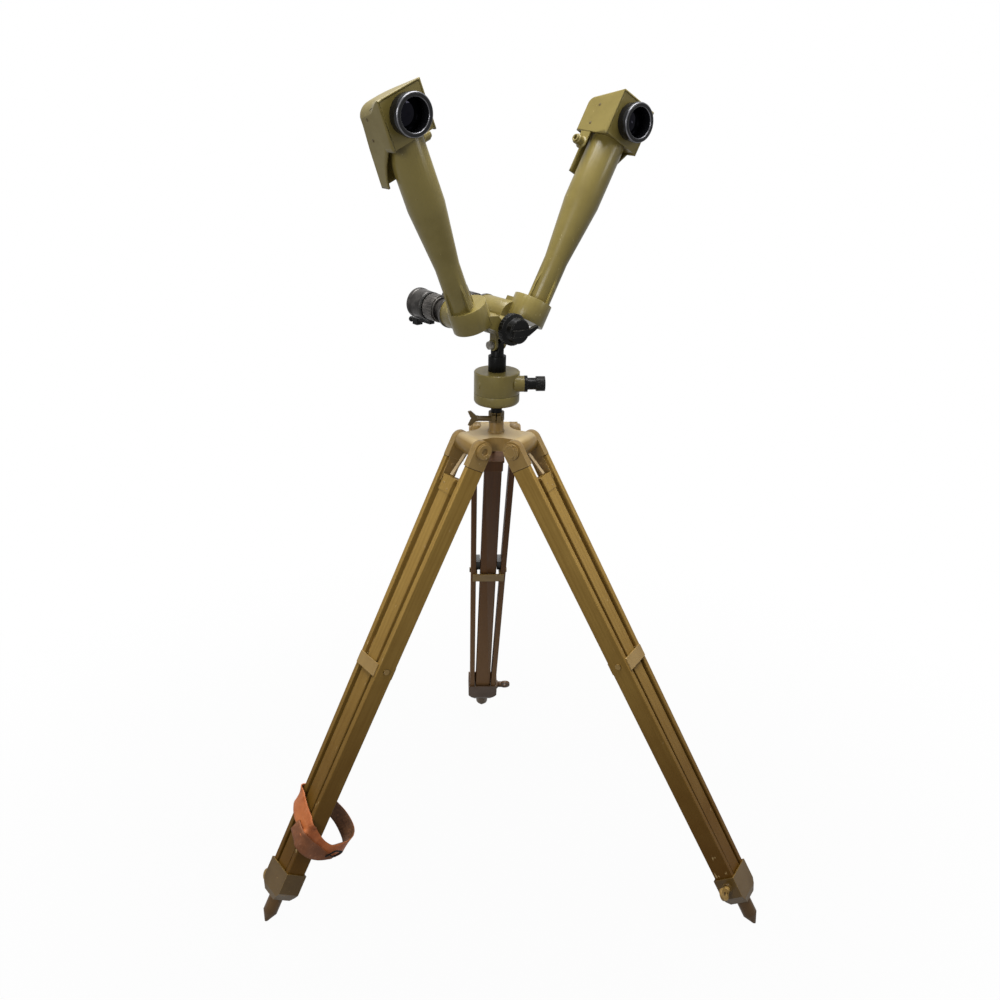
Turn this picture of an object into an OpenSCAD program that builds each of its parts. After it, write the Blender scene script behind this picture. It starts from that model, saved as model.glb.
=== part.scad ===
// Periscopic binoculars (a scissors telescope) standing on their wooden tripod.
// Millimetres. The floor is z = 0 and the tripod's own axis is the Z axis.
// The sight line runs along -Y, the eyepieces are on the +Y side, +X is the right arm's side.

/* [Tripod] */
// Height of the three leg pivots above the floor
pivot_z = 806; // [790:1:820]
// Distance of each leg pivot from the tripod's axis
pivot_r = 50; // [50:0.5:54]
// Angle of the left leg from upright
left_spread = 27.2; // [27:0.1:31]
// Angle of the front leg from upright
front_spread = 30.5; // [27:0.1:31]
// Angle of the rear leg from upright
rear_spread = 29.9; // [27:0.1:31]
// Length of the barrel between a leg's two ears
barrel_l = 50.6; // [48:0.1:51]
// Radius of the barrel
barrel_r = 17; // [16:0.5:18]
// Radius of the pivot bolt
bolt_r = 8; // [6:0.5:9]
// Thickness of a wooden rail
rail_t = 10; // [9:0.5:11]
// Depth of a wooden rail
rail_d = 34; // [32:1:35]
// Half width over the rails at the ears
rail_top = 39.5; // [39:0.1:41]
// Half width over the rails at the shoe
rail_low = 28; // [28:0.1:30]
// Width of the sliding bar
bar_w = 31; // [28:0.5:32]
// Depth of the sliding bar
bar_d = 30; // [26:1:30]
// Distance from the pivot down to the mid band's top edge
band_at = 400; // [380:5:410]
// Distance from the floor up the leg to the shoe's top edge
shoe_up = 107; // [104:1:112]
// Radius of a spike
spike_r = 12.5; // [11:0.5:13]

/* [Mount] */
// Radius of the stem that plugs into the tripod
stem_r = 9.5; // [8:0.5:10]
// Radius of the azimuth drive's housing
drum_r = 38.5; // [37:0.5:42]
// Height of the housing's lower face
drum_z = 873; // [870:1:876]
// Height of the seam between the housing and its cover
seam_z = 892; // [890:1:894]
// Height of the housing's top face
drum_top = 929; // [926:1:932]
// Height of the worm shaft's axis
worm_z = 911; // [909:1:912]
// Offset of the worm shaft from the tripod's axis
worm_off = 17; // [17:0.5:18]
// Radius of the rotating post's collar
collar_r = 15; // [13:0.5:16]
// Height of the tilt pivot
tilt_z = 975; // [974:1:976]

/* [Instrument] */
// Height of the hinge that joins the two arms
hinge_z = 1007; // [1006:1:1010]
// Angle of the left arm from upright
left_swing = 22.5; // [12:0.5:60]
// Angle of the right arm from upright
right_swing = 30.3; // [12:0.1:60]
// Distance of a tube's axis from the hinge axis
tube_u = 58; // [56:0.5:60]
// Place of a tube's axis along the sight line
tube_y = -4; // [-5:0.5:-3]
// Radius of a tube at its head
tube_r = 30; // [27:0.5:31]
// Radius of a tube at its foot
foot_r = 20; // [18:0.5:21]
// Distance of the objective's axis along the arm from the hinge
sight_w = 400; // [380:1:420]
// Clear radius of an objective
clear_r = 25; // [22:0.5:26]
// Distance of the eyepiece axis outward from the hinge axis
eye_u = 28.5; // [28:0.5:30]
// Distance of the eyepiece axis along the arm from the hinge axis
eye_w = 25; // [24:0.5:28]

/* [Hidden] */
$fn = 48;

// Running clearance on a radius, and the gap left between parts that only sit side by side
run = 0.05;
gap = 0.3;

// Paint and bare metal
olive = [0.49, 0.45, 0.25];
ochre = [0.51, 0.42, 0.21];
umber = [0.36, 0.27, 0.17];
black = [0.10, 0.10, 0.10];
gunmetal = [0.33, 0.32, 0.31];
steel = [0.62, 0.61, 0.58];
brass = [0.66, 0.53, 0.28];
leather = [0.72, 0.40, 0.24];
glass = [0.10, 0.12, 0.13];

// The legs: direction round the tripod's axis, and angle from upright
LEFT = [173, left_spread];
FRONT = [293, front_spread];
REAR = [53, rear_spread];
LEGS = [LEFT, FRONT, REAR];

// The tripod head
head_low = pivot_z - 8;
head_top = pivot_z + barrel_r - 0.6;
ear_in = barrel_l / 2 + gap;
ear_low = -33;
rail_end = -839;
lean = atan((rail_top - rail_low) / (ear_low - rail_end));
bar_top = -62;
spike_len = 76;
shoe_len = 56;
clamp_at = -846;

// The stem's clamp collar
socket_top = head_top + 21.6;
collar_top = socket_top + 14;
screw_side = 140;
screw_y = 18.5;
screw_z = socket_top + 7;

// The azimuth drive
worm_side = -35;
teeth = 24;
wheel_r = worm_off - 6.2;
post_foot = drum_z + 6.5;
journal_r = 8;

// The hinge between the arms, along the sight line
knuckle_r = 17;
front_knuckle = [-31, -13];
block_span = [-12.8, 6.8];
rear_knuckle = [7, 25];
spindle_r = 6;
knob_y = [-59, -31.5];

// The elbow of an arm
box_w = [27, 66];
elbow_r = 33;
elbow_c = [48, -3];
prism_r = 26;
prism_y = [27, 76];

// The head of an arm
head_w0 = sight_w - 41;
head_w1 = sight_w + 38;
head_half = 41;
head_front = -36;
head_back = 37;
head_slope = 16;
tail_w = 294;
corner_r = 14;
sheet = 3;

// The carrying strap: its height on the leg, width, thickness, and slopes along and across
strap_at = -716;
strap_w = 27;
strap_t = 2.5;
strap_slope = [-33, -17, 0];

// Points of an arc round c from angle a0 to a1
function arc(c, r, a0, a1, n = 6) =
    [for (i = [0:n]) c + r * [cos(a0 + (a1 - a0) * i / n), sin(a0 + (a1 - a0) * i / n)]];

// Distance from a leg's pivot down the leg to the floor
function reach(leg) = pivot_z / cos(leg[1]);

// Puts a leg's own frame in place: its origin on the pivot, z up the leg, x outward
module at_leg(leg) {
    rotate([0, 0, leg[0]])
        translate([pivot_r, 0, pivot_z])
            rotate([0, -leg[1], 0])
                children();
}

// Puts an arm's own frame in place: its origin on the hinge, x outward, z up the arm
module at_arm(side, swing) {
    translate([0, 0, hinge_z])
        mirror([side < 0 ? 1 : 0, 0, 0])
            rotate([0, swing, 0])
                children();
}

// A cylinder along Y from y0 to y1
module bar_y(r, y0, y1) {
    translate([0, y1, 0])
        rotate([90, 0, 0])
            cylinder(r = r, h = y1 - y0);
}

// A cylinder along X from x0 to x1
module bar_x(r, x0, x1) {
    translate([x0, 0, 0])
        rotate([0, 90, 0])
            cylinder(r = r, h = x1 - x0);
}

// A plane shape turned round Y: each point is a radius and a place along Y
module turned_y(points) {
    rotate([-90, 0, 0])
        rotate_extrude()
            polygon(points);
}

// An outline in the y-z plane carried along X from x0 to x1
module along_x(x0, x1) {
    translate([x0, 0, 0])
        rotate([90, 0, 90])
            linear_extrude(x1 - x0)
                children();
}

// An outline in the x-z plane carried along Y from y0 to y1
module along_y(y0, y1) {
    translate([0, y1, 0])
        rotate([90, 0, 0])
            linear_extrude(y1 - y0)
                children();
}

// A rectangle with round corners, centred
module soft_rect(w, h, r) {
    square([w - 2 * r, h], center = true);
    square([w, h - 2 * r], center = true);
    for (sx = [-1, 1], sy = [-1, 1])
        translate([sx * (w / 2 - r), sy * (h / 2 - r)])
            circle(r = r);
}

// Plan of the tripod head: three lobes with a round web in each corner between them
module head_plan() {
    web_x = 31.5;
    half = barrel_l / 2 - 0.4;
    fillet_r = (web_x - half / tan(60)) * tan(60);
    centre = [(half + fillet_r) / sin(60), 0];
    for (leg = LEGS) {
        rotate(leg[0])
            translate([0, -half])
                square([pivot_r, 2 * half]);
        rotate(leg[0] + 60)
            polygon(concat([[0, 0]], arc(centre, fillet_r, 210, 150, 10)));
    }
}

// Cast head with a barrel for each leg and a blind bore for the stem
module tripod_head() {
    color(ochre)
    difference() {
        union() {
            translate([0, 0, head_low])
                linear_extrude(head_top - head_low)
                    head_plan();
            for (leg = LEGS)
                at_leg(leg)
                    bar_y(barrel_r, -barrel_l / 2, barrel_l / 2);
        }
        for (leg = LEGS)
            at_leg(leg)
                bar_y(bolt_r + run, -barrel_l, barrel_l);
        translate([0, 0, head_low + 4])
            cylinder(r = stem_r + run, h = 60);
    }
}

// Sleeve that carries the stem above the head
module stem_socket() {
    color(ochre)
    difference() {
        union() {
            translate([0, 0, head_top])
                cylinder(r = stem_r + 5, h = 3);
            translate([0, 0, head_top])
                cylinder(r = stem_r + 3, h = socket_top - head_top);
        }
        translate([0, 0, head_top - 1])
            cylinder(r = stem_r + run, h = 60);
    }
}

// Split collar on top of the sleeve, with two lugs for its screw
module stem_clamp() {
    lug_h = 12;
    color(umber)
    rotate([0, 0, screw_side])
    difference() {
        union() {
            translate([0, 0, socket_top])
                cylinder(r = stem_r + 4, h = collar_top - socket_top);
            translate([-8, 8, screw_z - lug_h / 2])
                cube([16, 16.5, lug_h]);
        }
        translate([0, 0, socket_top - 1])
            cylinder(r = stem_r + run, h = 60);
        translate([-1, 0, socket_top - 1])
            cube([2, 40, 40]);
        translate([0, screw_y, screw_z])
            bar_x(3 + run, -20, 20);
    }
}

// Wing screw that draws the collar's lugs together
module stem_clamp_screw() {
    wing = [[30, -4.5], [34, -5], [43, -13], [48, -12], [44, -3], [42, 0],
            [44, 3], [48, 12], [43, 13], [34, 5], [30, 4.5]];
    color(umber)
    rotate([0, 0, screw_side])
    translate([0, screw_y, screw_z]) {
        bar_x(3, -11, 9);
        bar_x(4.5, 8 + gap, 32);
        along_y(-2, 2)
            polygon(wing);
    }
}

// Steel tongues under the head that the legs come to rest against
module spread_stops() {
    color(steel)
    for (leg = LEGS)
        at_leg(leg)
            rotate([0, -12, 0])
                translate([-1.5, -3.5, -60])
                    cube([3, 7, 60 - barrel_r - 0.2]);
}

// Bolts through the barrels: round head with a socket on one side, plain end on the other
module pivot_bolts() {
    out = rail_top + gap;
    color(ochre)
    for (leg = LEGS)
        at_leg(leg)
            difference() {
                union() {
                    bar_y(bolt_r, -out - 5, out + 1);
                    bar_y(14, out, out + 3);
                    bar_y(12.5, out + 2, out + 5);
                }
                bar_y(6.5, out + 2, out + 9);
            }
}

// Round nuts with three notches for a pin spanner
module pivot_nuts() {
    out = rail_top + gap;
    color(ochre)
    for (leg = LEGS)
        at_leg(leg)
            difference() {
                union() {
                    bar_y(14, -out - 3.5, -out);
                    bar_y(12, -out - 5, -out - 3);
                }
                bar_y(bolt_r + run, -out - 9, 0);
                for (a = [90, 210, 330])
                    rotate([0, a, 0])
                        translate([9.5, -out - 6, -2.5])
                            cube([6, 3, 5]);
            }
}

// One rail's own frame: its origin on the rail's outer top edge, leaning in towards the shoe
module at_rail(side) {
    mirror([0, side < 0 ? 1 : 0, 0])
        translate([0, rail_top, ear_low])
            rotate([-lean, 0, 0])
                children();
}

// The two wooden rails of a leg
module rails(leg, paint) {
    len = -rail_end + ear_low;
    color(paint)
    at_leg(leg)
        for (side = [-1, 1])
            at_rail(side)
                translate([0, -rail_t / 2, -len - 0.2])
                    linear_extrude(len)
                        soft_rect(rail_d, rail_t, 1.6);
}

// The hinge ears on top of the rails, each with a tang riveted inside its rail
module ears(leg, paint) {
    color(paint)
    at_leg(leg)
        for (side = [-1, 1]) {
            mirror([0, side < 0 ? 1 : 0, 0])
                difference() {
                    union() {
                        bar_y(rail_d / 2, ear_in, rail_top);
                        translate([-rail_d / 2, ear_in, ear_low])
                            cube([rail_d, rail_top - ear_in, -ear_low]);
                    }
                    bar_y(bolt_r + run, 0, 60);
                }
            at_rail(side) {
                translate([-11, -rail_t - 2.6, -42])
                    cube([22, 2.5, 43]);
                for (z = [-12, -32])
                    translate([0, 0, z])
                        bar_y(3, -rail_t - 4, -rail_t - 2);
            }
        }
}

// Flat band round the rails at mid height, its cross bolts, and the bar's guide blocks
module mid_band(leg, paint) {
    band_h = 22;
    color(paint)
    at_leg(leg) {
        for (s = [-1, 1])
            translate([s > 0 ? rail_d / 2 + 0.1 : -rail_d / 2 - 2.6, 0, -band_at - band_h])
                along_x(0, 2.5)
                    translate([0, band_h / 2])
                        soft_rect(2 * (rail_top - (band_at + ear_low) * tan(lean)) - 7, band_h, 1);
        for (side = [-1, 1])
            at_rail(side)
                translate([0, 0, -band_at - ear_low]) {
                    translate([-rail_d / 2 - 2.6, -rail_t - 2.6, -band_h])
                        cube([rail_d + 5.2, 2.5, band_h]);
                    translate([-9, -rail_t - 7.9, 3])
                        cube([18, 7.8, 26]);
                    translate([0, 0, -band_h + 13])
                        bar_y(5, 0.1, 2.6);
                }
    }
}

// Sheet steel shoe round the rails' lower ends, guiding the bar
module shoe(leg, paint) {
    half_y = rail_low + 3.2;
    half_x = rail_d / 2 + 2.6;
    top = shoe_up - reach(leg);
    low = top - shoe_len;
    side_cut = [[-half_y, top], [-half_y, low + 18], [-half_y + 13, low],
                [half_y - 13, low], [half_y, low + 18], [half_y, top]];
    face_cut = [[-half_x, top], [-half_x, low + 10], [-half_x + 3, low],
                [half_x - 3, low], [half_x, low + 10], [half_x, top]];
    color(paint)
    at_leg(leg)
        difference() {
            union() {
                intersection() {
                    along_x(-half_x, half_x)
                        polygon(side_cut);
                    along_y(-half_y, half_y)
                        polygon(face_cut);
                }
                translate([0, 0, clamp_at])
                    bar_y(9, -half_y - 3, -half_y + 1);
            }
            translate([-rail_d / 2 - 0.2, -half_y + 2, rail_end - 1])
                cube([rail_d + 0.4, 2 * half_y - 4, 100]);
            translate([-bar_d / 2 - 0.4, -bar_w / 2 - 0.4, low - 1])
                cube([bar_d + 0.8, bar_w + 0.8, 100]);
            translate([0, 0, clamp_at])
                bar_y(4 + run, -60, 0);
        }
}

// The sliding bar between the rails, with the wider metal cap on its top end that stops it
module slide_bar(leg, paint) {
    cap_h = 27;
    top = bar_top;
    low = spike_len - reach(leg);
    color(paint)
    at_leg(leg) {
        translate([0, 0, low])
            linear_extrude(top - low - 1)
                soft_rect(bar_d, bar_w, 1.6);
        translate([0, 0, top - cap_h])
            linear_extrude(cap_h)
                soft_rect(bar_d + 2, bar_w + 3.4, 1.6);
        translate([0, 0, top - 4])
            linear_extrude(4)
                soft_rect(bar_d + 2, bar_w + 7, 1.6);
    }
}

// Steel spike on the bar's lower end, its blunt tip cut flat where it stands
module spike(leg) {
    tip = -reach(leg) - 1;
    cone_h = 20;
    color(umber)
    difference() {
        at_leg(leg)
            union() {
                translate([0, 0, tip + cone_h])
                    cylinder(r = spike_r, h = spike_len + 1 - cone_h);
                translate([0, 0, tip])
                    cylinder(r1 = 2, r2 = spike_r, h = cone_h);
            }
        translate([-600, -600, -50])
            cube([1200, 1200, 50]);
    }
}

// Thumb screw that grips the bar: a shank and a flat ring to turn it by
module clamp_screw(leg, paint) {
    ring_y = -rail_low - 22;
    color(paint)
    at_leg(leg)
        translate([0, 0, clamp_at]) {
            bar_y(4, ring_y + 7, -bar_w / 2 - gap);
            bar_y(6.5, ring_y + 8, -rail_low - 3.2 - 3 - gap);
            difference() {
                translate([-2.5, ring_y, 0])
                    bar_x(11, 0, 5);
                translate([-3.5, ring_y, 0])
                    bar_x(4.5, 0, 7);
            }
        }
}

// Puts the strap's own frame in place: tilted, low on its near side and towards its free loop
module at_strap() {
    at_leg(LEFT)
        translate([0, 0, strap_at])
            rotate(strap_slope)
                children();
}

// Plan of the strap's loop grown by the given amount: square round the leg, then a free loop
function strap_plan(grow) =
    concat(arc([15, 37], 8 + grow, 0, 90),
           [for (t = [96:12:264]) [-20 + (72 + grow) * cos(t), (45 + grow) * sin(t)]],
           arc([26.6, -43], 3 + grow, -90, 0));

// Carrying strap buckled loosely round the left leg, with its free end lying on the near side
module leather_strap() {
    color(leather)
    at_strap() {
        linear_extrude(strap_w, center = true)
            difference() {
                polygon(strap_plan(strap_t));
                polygon(strap_plan(0));
            }
        translate([-42, 45 + strap_t - 0.1, -strap_w / 2 - 5])
            cube([54, strap_t, strap_w - 3]);
    }
}

// Wire buckle at the start of the strap's free loop
module strap_buckle() {
    color(black)
    at_strap()
        translate([-62, 40.2, -15])
            rotate([0, 0, 18])
                difference() {
                    cube([19, 3, 30]);
                    translate([3, -1, 3])
                        cube([13, 5, 24]);
                }
}

// Stem that plugs into the tripod and carries the drive
module stem() {
    color(black)
    translate([0, 0, head_low + 4.2])
        cylinder(r = stem_r, h = drum_z + 3 - head_low - 4.2);
}

// Lower half of the azimuth drive: a cup with the post's foot bearing
module drive_cover() {
    wall = 4;
    low_r = 7;
    color(olive)
    difference() {
        union() {
            rotate_extrude()
                polygon(concat([[0, drum_z]],
                               arc([drum_r - low_r, drum_z + low_r], low_r, -90, 0),
                               [[drum_r, seam_z - 0.6], [drum_r - wall - gap, seam_z - 0.6],
                                [drum_r - wall - gap, seam_z + 4], [drum_r - wall - 3, seam_z + 4],
                                [drum_r - wall - 3, drum_z + 9], [drum_r - wall - 7, drum_z + 5],
                                [0, drum_z + 5]]));
            translate([0, 0, drum_z + 4])
                cylinder(r = 14, h = 12);
        }
        translate([0, 0, drum_z - 1])
            cylinder(r = stem_r + run, h = 4.1);
        translate([0, 0, post_foot - 0.2])
            cylinder(r = journal_r + run, h = 40);
    }
}

// Upper half of the azimuth drive with the post's top bearing and the worm shaft's boss
module drive_housing() {
    wall = 4;
    color(olive)
    difference() {
        union() {
            difference() {
                rotate_extrude()
                    polygon([[0, seam_z], [drum_r, seam_z], [drum_r, drum_top - 1.5],
                             [drum_r - 1.5, drum_top], [0, drum_top]]);
                translate([0, 0, seam_z - 1])
                    cylinder(r = drum_r - wall, h = drum_top - seam_z - 5 + 1);
            }
            intersection() {
                rotate([0, 0, worm_side])
                    translate([0, -worm_off, worm_z]) {
                        bar_x(13.5, 27, 44);
                        bar_x(9, -32, -24);
                    }
                translate([0, 0, seam_z + gap])
                    cylinder(r = 60, h = drum_top - seam_z - 2);
            }
        }
        cylinder(r = 11 + run, h = 1000);
        rotate([0, 0, worm_side])
            translate([0, -worm_off, worm_z])
                bar_x(5 + run, -28, 60);
        translate([0, 0, seam_z - 1])
            cylinder(r = drum_r - wall, h = 5.3);
    }
}

// Worm shaft of the azimuth drive: journals and a grooved worm
module worm_shaft() {
    color(steel)
    rotate([0, 0, worm_side])
        translate([0, -worm_off, worm_z]) {
            bar_x(5, -27.5, 62);
            for (i = [-4:4])
                translate([i * 2.6 - 0.6, 0, 0])
                    rotate([0, 90, 0])
                        cylinder(r = 6, h = 1.2);
        }
}

// Knob on the worm shaft: flange, waist and a ribbed end
module azimuth_knob() {
    color(black)
    rotate([0, 0, worm_side])
        translate([0, -worm_off, worm_z])
            difference() {
                union() {
                    bar_x(13.8, 44.3, 49.5);
                    bar_x(10, 49, 64.5);
                    bar_x(12.5, 64, 79);
                }
                bar_x(5 + run, 40, 62.1);
                for (a = [0:15:345])
                    rotate([a, 0, 0])
                        translate([0, 0, 12.9])
                            bar_x(0.8, 66, 81);
            }
}

// Post that turns in the drive: foot, collar, neck and the tongue of the tilt pivot
module post() {
    neck_top = tilt_z - 10.5;
    color(black)
    difference() {
        union() {
            translate([0, 0, post_foot])
                cylinder(r = journal_r, h = drum_top - 6 - post_foot);
            translate([0, 0, drum_top - 6.5])
                cylinder(r = 11, h = neck_top - drum_top + 6.5);
            translate([0, 0, drum_top + gap])
                cylinder(r = collar_r, h = 26);
            intersection() {
                translate([-6, -10, neck_top - 1])
                    cube([12, 20, tilt_z - neck_top + 11]);
                union() {
                    translate([0, 0, tilt_z])
                        bar_x(10, -6, 6);
                    translate([-6, -10, neck_top - 1])
                        cube([12, 20, tilt_z - neck_top + 1]);
                }
            }
        }
        translate([0, 0, tilt_z])
            bar_x(4 + run, -20, 20);
    }
}

// Worm wheel on the post, inside the housing
module worm_wheel() {
    color(brass)
    translate([0, 0, worm_z - 4])
        difference() {
            cylinder(r = wheel_r, h = 8);
            translate([0, 0, -1])
                cylinder(r = journal_r + run, h = 10);
            for (i = [0:teeth - 1])
                rotate([0, 0, i * 360 / teeth])
                    translate([wheel_r + 0.2, 0, -1])
                        cylinder(r = 0.8, h = 10);
        }
}

// Pin of the tilt pivot with a round head and a ribbed nut
module tilt_pin() {
    color(steel)
    translate([0, 0, tilt_z]) {
        bar_x(4, -18, 12);
        bar_x(6.5, 11 + gap, 14.5);
        difference() {
            bar_x(7, -19, -11 - gap);
            for (a = [0:30:330])
                rotate([a, 0, 0])
                    translate([0, 0, 7.3])
                        bar_x(0.9, -20, -10);
        }
    }
}

// Block between the arms: a fork on the tilt pivot and the hinge's middle barrel
module hinge_block() {
    color(olive)
    difference() {
        union() {
            translate([0, 0, hinge_z])
                bar_y(knuckle_r, block_span[0], block_span[1]);
            translate([-11, -10, tilt_z])
                cube([22, 16.8, hinge_z - tilt_z - 6]);
            translate([0, 0, tilt_z])
                bar_x(10, -11, 11);
        }
        translate([-6 - gap, -20, tilt_z - 20])
            cube([12 + 2 * gap, 40, 31]);
        translate([0, 0, tilt_z])
            bar_x(4 + run, -20, 20);
        translate([0, 0, hinge_z])
            bar_y(spindle_r + run, -60, 60);
        translate([-2, -5, hinge_z + knuckle_r - 1.5])
            cube([4, 9, 4]);
    }
}

// Spindle that both arms swing on
module hinge_spindle() {
    color(steel)
    translate([0, 0, hinge_z]) {
        bar_y(spindle_r, knob_y[0] + 8, rear_knuckle[1] + 1);
        bar_y(11, rear_knuckle[1] + gap, rear_knuckle[1] + 4);
    }
}

// Large knob that clamps the arms: ribbed disc, stepped front and a fin to grip
module hinge_knob() {
    y0 = knob_y[0];
    y1 = knob_y[1];
    fin = [[-19, -7], [14, -8], [34, 3], [33, 7], [16, 3], [-17, 4]];
    color(black)
    translate([0, 0, hinge_z])
        difference() {
            union() {
                turned_y([[0, y0], [18.5, y0], [20.5, y0 + 2], [20.5, y0 + 13], [24, y0 + 15],
                          [26.5, y0 + 17], [26.5, y1 - 2], [25, y1], [0, y1]]);
                along_y(y0 - 5, y0 + 2)
                    polygon(fin);
            }
            bar_y(spindle_r + run, y0 + 7, y1 + 1);
            for (a = [0:12:348])
                rotate([0, a, 0])
                    translate([27, 0, 0])
                        bar_y(1.2, y0 + 16, y1 + 1);
        }
}

// Cast elbow: hinge knuckle, round drum under the tube, and the barrel that holds the prisms
module elbow(side, swing, span) {
    web = [[8, 15], [12, 31], [28, 40], [44, 40], [44, 28], [27, 12], [12, -10]];
    w = box_w[0];
    h = box_w[1] - w;
    color(olive)
    at_arm(side, swing)
        difference() {
            union() {
                translate([elbow_c[0], elbow_c[1], w])
                    cylinder(r = elbow_r, h = h);
                translate([20, elbow_c[1], w])
                    cube([42, prism_y[0] + 4 - elbow_c[1], 30]);
                bar_y(knuckle_r, span[0], span[1]);
                along_y(span[0], span[1])
                    polygon(web);
                translate([eye_u, 0, eye_w])
                    bar_y(prism_r, side > 0 ? span[0] : prism_y[0], prism_y[1]);
            }
            bar_y(spindle_r + run, -60, 60);
            translate([elbow_c[0], elbow_c[1], w + 4])
                cylinder(r = elbow_r - 4, h = h - 10);
            translate([tube_u, tube_y, w + 10])
                cylinder(r = foot_r + run, h = 60);
            translate([eye_u + 2, 0, w + 12])
                bar_y(8, 0, prism_y[0] + 8);
            translate([eye_u, 0, eye_w])
                bar_y(prism_r - 5, prism_y[0] + 5, prism_y[1] + 1);
        }
}

// Main tube: narrow foot, cone, wide head end, with four ribs at its foot
module tube(side, swing) {
    w0 = box_w[1] - 6;
    wall = 2.5;
    w1 = head_w0 + 1;
    color(olive)
    at_arm(side, swing)
        translate([tube_u, tube_y, 0]) {
            rotate_extrude()
                polygon([[foot_r, w0], [foot_r, 143], [tube_r, 248], [tube_r, w1],
                         [tube_r - 5, w1], [tube_r - 5, w1 + 6], [tube_r - 5 - wall, w1 + 6],
                         [tube_r - 5 - wall, w1 - 3], [tube_r - wall, w1 - 3],
                         [tube_r - wall, 248.3], [foot_r - wall, 143.3], [foot_r - wall, w0]]);
            for (a = [0:90:270])
                rotate([0, 0, a])
                    along_y(-2, 2)
                        polygon([[foot_r - 1, box_w[1] + gap], [foot_r + 4.5, box_w[1] + gap],
                                 [foot_r + 3, box_w[1] + 30], [foot_r, box_w[1] + 46],
                                 [foot_r - 1, box_w[1] + 46]]);
        }
}

// Side outline of the head, moved in by the given amount at the top and back
function head_side(inset, front, low) =
    let (back = head_back - inset,
         r = corner_r - inset,
         cy = back - r,
         drop = tan(head_slope),
         ty = cy + r * sin(head_slope),
         top = head_w1 - inset - (ty - head_front) * drop,
         cw = top - r * cos(head_slope))
    concat([[front, low], [front, head_w1 - inset - (front - head_front) * drop]],
           arc([cy, cw], r, 90 - head_slope, 0),
           [[back, low]]);

// Prism box that carries the objective in front and sits on the tube
module head_box(side, swing) {
    half = head_half - sheet - gap;
    inset = sheet + gap;
    color(olive)
    at_arm(side, swing)
        difference() {
            translate([tube_u, 0, 0])
                along_x(-half, half)
                    polygon(head_side(inset, head_front, head_w0 + 1.2));
            translate([tube_u, 0, 0])
                along_x(-half + 3.5, half - 3.5)
                    polygon(head_side(inset + 3.5, head_front + 6, head_w0 + 6));
            translate([tube_u, 0, sight_w])
                bar_y(clear_r + 2 + run, head_front - 10, head_front + 20);
            translate([tube_u, tube_y, head_w0 - 1])
                cylinder(r = tube_r - 5 + run, h = 12);
        }
}

// Sheet cover over the sides, top and back of the head, with tails down beside the tube
module head_cover(side, swing) {
    tail = [[head_front - 5, tail_w - 10], [16, tail_w - 10], [15, tail_w + 6], [8, 318],
            [1, 332], [-8, 345], [-17, head_w0 - 1], [head_front - 5, head_w0 - 1]];
    ear_y = 12;
    ear_w = 338;
    color(olive)
    at_arm(side, swing)
        difference() {
            union() {
                difference() {
                    translate([tube_u, 0, 0])
                        along_x(-head_half, head_half)
                            polygon(head_side(0, head_front, tail_w));
                    translate([tube_u, 0, 0])
                        along_x(-head_half + sheet, head_half - sheet)
                            polygon(head_side(sheet, head_front - 1, tail_w - 1));
                }
                for (s = [-1, 1], spot = [[6, sight_w + 6], [10, sight_w - 27]])
                    translate([tube_u + s * head_half, spot[0], spot[1]])
                        bar_x(2.2, -0.8, 0.8);
            }
            along_x(0, 200)
                polygon(tail);
            translate([0, head_front - 5, tail_w - 10])
                cube([40, 100, head_w0 - tail_w + 9]);
        }
    color(olive)
    at_arm(side, swing)
        difference() {
            union() {
                translate([tube_u - head_half, ear_y - 11, ear_w])
                    cube([sheet, 22, head_w0 - ear_w + 6]);
                translate([0, ear_y, ear_w]) {
                    bar_x(11, tube_u - head_half, tube_u - head_half + sheet);
                    bar_x(8.5, 4, tube_u - head_half + 1);
                    bar_x(6.5, 1, 5);
                }
            }
            translate([0, ear_y, ear_w])
                bar_x(3.6, 0, 7);
        }
}

// Black objective hood with a rolled lip
module hood(side, swing) {
    f = head_front - 22;
    color(black)
    at_arm(side, swing)
        translate([tube_u, 0, sight_w])
            turned_y(concat([[clear_r + 1.2, head_front + 8], [clear_r + 1.2, head_front - 6],
                             [clear_r, head_front - 6], [clear_r, f + 2]],
                            arc([clear_r + 2, f + 2], 2, 180, 270, 3),
                            [[clear_r + 5, f]],
                            arc([clear_r + 5, f + 3], 3, -90, 0, 3),
                            [[clear_r + 8, f + 9], [clear_r + 6, f + 12],
                             [clear_r + 6, head_front - gap], [clear_r + 2, head_front - gap],
                             [clear_r + 2, head_front + 8]]));
}

// Glass of one arm: objective, head prism, lower prisms and eye lens, each apart
module optics(side, swing) {
    color(glass)
    at_arm(side, swing) {
        translate([tube_u, 0, sight_w])
            turned_y([[0, head_front - 5], [14, head_front - 4.2], [clear_r + 1.1, head_front - 2],
                      [clear_r + 1.1, head_front + 5], [0, head_front + 5]]);
        translate([tube_u, 0, 0])
            along_x(-16, 16)
                polygon([[-20, sight_w - 16], [12, sight_w - 16], [12, sight_w + 16]]);
        translate([tube_u, 0, 0])
            along_x(-14, 14)
                polygon([[-16, box_w[0] + 6], [12, box_w[0] + 6], [-16, box_w[0] + 27]]);
        translate([eye_u, 0, eye_w])
            turned_y([[0, 46], [14, 46], [14, 70], [0, 70]]);
        translate([eye_u, 0, eye_w])
            turned_y([[0, 152], [13, 153], [13, 160], [0, 160]]);
    }
}

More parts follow.
